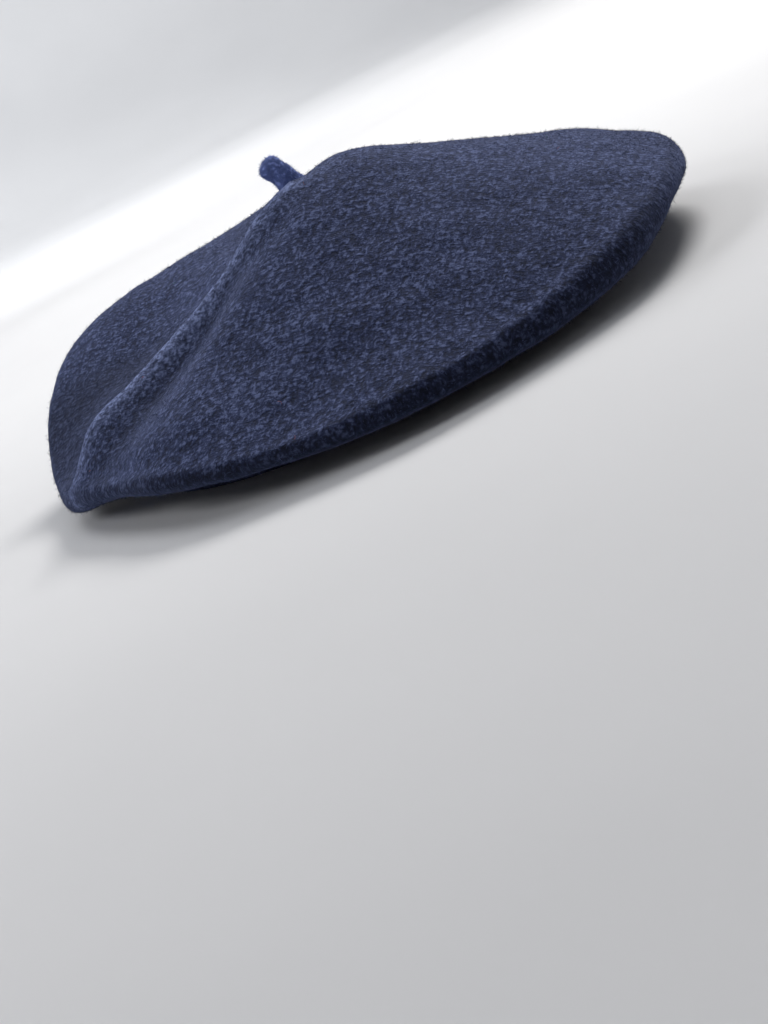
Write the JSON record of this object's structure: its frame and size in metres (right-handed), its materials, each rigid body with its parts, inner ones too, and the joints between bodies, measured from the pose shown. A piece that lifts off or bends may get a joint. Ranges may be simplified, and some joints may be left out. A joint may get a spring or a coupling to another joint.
{
  "type": "felt beret",
  "caption": "Felted wool beret with a small stalk, leather sweatband and satin lining, draped as on a head, with a crown that presses flat.",
  "frame": {"origin": "centre of the head opening, level with the sweatband's lower edge", "axes": "+Z out through the crown along the opening's axis, -Y towards the wearer's front, -X towards the wearer's right"},
  "size_m": [0.2635, 0.2704, 0.085],
  "materials": {
    "wool_felt": "napped wool felt, mottled navy blue",
    "band_leather": "smooth dark brown sheepskin, fine grain",
    "lining_satin": "satin weave, soft gloss",
    "thread": "twisted sewing thread",
    "ribbon": "grosgrain ribbon",
    "label_weave": "plain woven label, blank",
    "care_tape": "soft white tape, blank"
  },
  "bodies": {
    "headband": {"felt_shell": "wool_felt", "sweatband": "band_leather", "sweatband_stitches": "thread", "sweatband_joint_stitches": "thread", "lining_tip": "lining_satin", "lining_side": "lining_satin", "lining_seam_stitches": "thread", "lining_hem_stitches": "thread", "ribbon_bow": "ribbon", "ribbon_bow_knot": "ribbon"},
    "crown_centre": {"stalk_root": "wool_felt", "stalk_root_stitches": "thread", "woven_label": "label_weave", "woven_label_stitches": "thread"},
    "stalk": {"stalk": "wool_felt"},
    "care_label": {"care_label": "care_tape"}
  },
  "joints": [
    {"name": "crown_flatten", "type": "slide", "parent": "headband", "child": "crown_centre", "axis": [0, 0, -1], "range_m": [0, 0.04], "deforming": ["felt_shell", "lining_tip", "lining_side", "lining_seam_stitches"]},
    {"name": "stalk_flex", "type": "hinge", "parent": "crown_centre", "child": "stalk", "pos_m": [0.0046, 0.00507, 0.0762], "axis": [-0.8829, -0.4695, 0], "range_deg": [-35, 35], "stiffness_Nm_per_rad": 0.0005},
    {"name": "care_label_flap", "type": "hinge", "parent": "headband", "child": "care_label", "pos_m": [0.05995, 0.06208, 0.05], "axis": [-0.7193, 0.6947, 0], "range_deg": [0, 75]}
  ]
}
